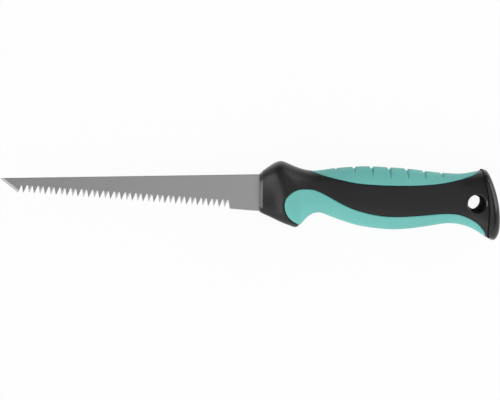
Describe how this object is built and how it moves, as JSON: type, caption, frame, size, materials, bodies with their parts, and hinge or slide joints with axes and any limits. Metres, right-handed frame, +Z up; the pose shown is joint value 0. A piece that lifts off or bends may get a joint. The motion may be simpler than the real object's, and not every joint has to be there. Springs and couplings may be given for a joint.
{
  "type": "keyhole saw",
  "caption": "Fixed-blade keyhole saw with a tapered toothed blade, a plunge tip and a soft two-colour handle with a bolster, a fluted grip and a hang hole.",
  "frame": {"origin": "middle of the part's box, on the surface that the saw lies on", "axes": "+X along the saw from the blade's point to the butt, +Y from the teeth to the spine, +Z up across the thickness, out of the side that faces up as it lies"},
  "size_m": [0.2876, 0.0458, 0.03],
  "materials": {
    "blade_steel": "satin ground steel plate with bright ground tooth facets",
    "core_plastic": "black moulded hard plastic, satin",
    "sleeve_rubber": "black soft moulded skin, fine matt grain",
    "grip_rubber": "sea-green soft moulded grip, fine matt grain",
    "pin_steel": "plain steel pin"
  },
  "bodies": {
    "root": {"blade": "blade_steel", "handle_core": "core_plastic", "handle_sleeve": "sleeve_rubber", "upper_grip": "grip_rubber", "lower_grip": "grip_rubber", "front_tang_pin": "pin_steel", "rear_tang_pin": "pin_steel"}
  },
  "joints": []
}
